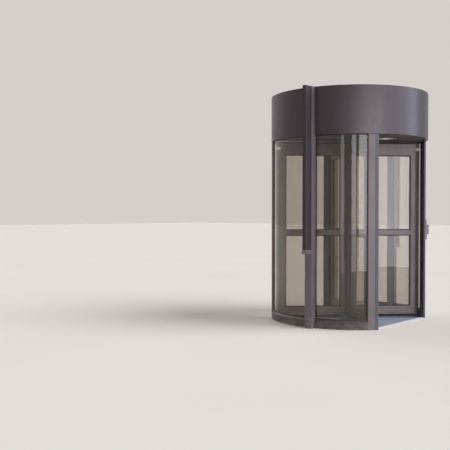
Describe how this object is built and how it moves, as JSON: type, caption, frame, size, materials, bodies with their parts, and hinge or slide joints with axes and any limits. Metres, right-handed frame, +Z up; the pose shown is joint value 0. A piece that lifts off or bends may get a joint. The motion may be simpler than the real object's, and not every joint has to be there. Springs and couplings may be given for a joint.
{
  "type": "revolving security door",
  "caption": "Glazed revolving door in a round drum: framed folding wings on a centre shaft turn between curved glass walls under a tall round canopy.",
  "frame": {"origin": "centre of the drum at floor level", "axes": "+Z up along the shaft, -Y towards the street, X along the wall that the drum passes through"},
  "size_m": [2.16, 1.86, 2.667],
  "materials": {
    "post_bronze": "satin dark bronze anodised",
    "wing_bronze": "satin dark bronze anodised",
    "fascia_bronze": "semi-gloss dark bronze anodised sheet",
    "safety_edge": "smooth grey rubber",
    "sweep_rubber": "dark blue-black",
    "wall_glass": "clear, grey-bronze tint",
    "wing_glass": "clear, faint grey tint",
    "filler_paint": "matt",
    "sill_metal": "mill",
    "ceiling_paint": "satin",
    "light_lens": "opal",
    "roof_sheet": "dull",
    "bearing_iron": "dull",
    "entrance_mat": "ribbed pile",
    "threshold_metal": "brushed",
    "reader_plastic": "moulded"
  },
  "bodies": {
    "enclosure": {"front_left_post": "post_bronze", "front_right_post": "post_bronze", "rear_left_post": "post_bronze", "rear_right_post": "post_bronze", "safety_edges": "safety_edge", "front_left_glass": "wall_glass", "front_right_glass": "wall_glass", "rear_left_glass": "wall_glass", "rear_right_glass": "wall_glass", "left_base_rails": "post_bronze", "right_base_rails": "post_bronze", "left_wall_jamb": "post_bronze", "right_wall_jamb": "post_bronze", "left_filler_panel": "filler_paint", "right_filler_panel": "filler_paint", "filler_sills": "sill_metal", "front_fascia": "fascia_bronze", "rear_fascia": "fascia_bronze", "ceiling": "ceiling_paint", "ceiling_lights": "light_lens", "canopy_roof": "roof_sheet", "canopy_beams": "roof_sheet", "upper_bearing": "bearing_iron", "floor_bearing": "threshold_metal", "floor_mat": "entrance_mat", "thresholds": "threshold_metal", "entry_reader": "reader_plastic"},
    "rotor": {"centre_shaft": "post_bronze", "upper_hanger": "bearing_iron", "lower_hanger": "bearing_iron"},
    "wing_1": {"wing_1_stiles": "wing_bronze", "wing_1_rails": "wing_bronze", "wing_1_glass": "wing_glass", "wing_1_sweeps": "sweep_rubber"},
    "wing_2": {"wing_2_stiles": "wing_bronze", "wing_2_rails": "wing_bronze", "wing_2_glass": "wing_glass", "wing_2_sweeps": "sweep_rubber"},
    "wing_3": {"wing_3_stiles": "wing_bronze", "wing_3_rails": "wing_bronze", "wing_3_glass": "wing_glass", "wing_3_sweeps": "sweep_rubber"},
    "wing_4": {"wing_4_stiles": "wing_bronze", "wing_4_rails": "wing_bronze", "wing_4_glass": "wing_glass", "wing_4_sweeps": "sweep_rubber"}
  },
  "joints": [
    {"name": "rotor_spin", "type": "hinge", "parent": "enclosure", "child": "rotor", "pos_m": [0, 0, 0], "axis": [0, 0, 1], "continuous": true},
    {"name": "wing_1_fold", "type": "hinge", "parent": "rotor", "child": "wing_1", "pos_m": [0.041, -0.0396, 0], "axis": [0, 0, 1], "range_deg": [-90, 0]},
    {"name": "wing_2_fold", "type": "hinge", "parent": "rotor", "child": "wing_2", "pos_m": [0.0396, 0.041, 0], "axis": [0, 0, 1], "range_deg": [-90, 0]},
    {"name": "wing_3_fold", "type": "hinge", "parent": "rotor", "child": "wing_3", "pos_m": [-0.041, 0.0396, 0], "axis": [0, 0, 1], "range_deg": [-90, 0]},
    {"name": "wing_4_fold", "type": "hinge", "parent": "rotor", "child": "wing_4", "pos_m": [-0.0396, -0.041, 0], "axis": [0, 0, 1], "range_deg": [-90, 0]}
  ]
}
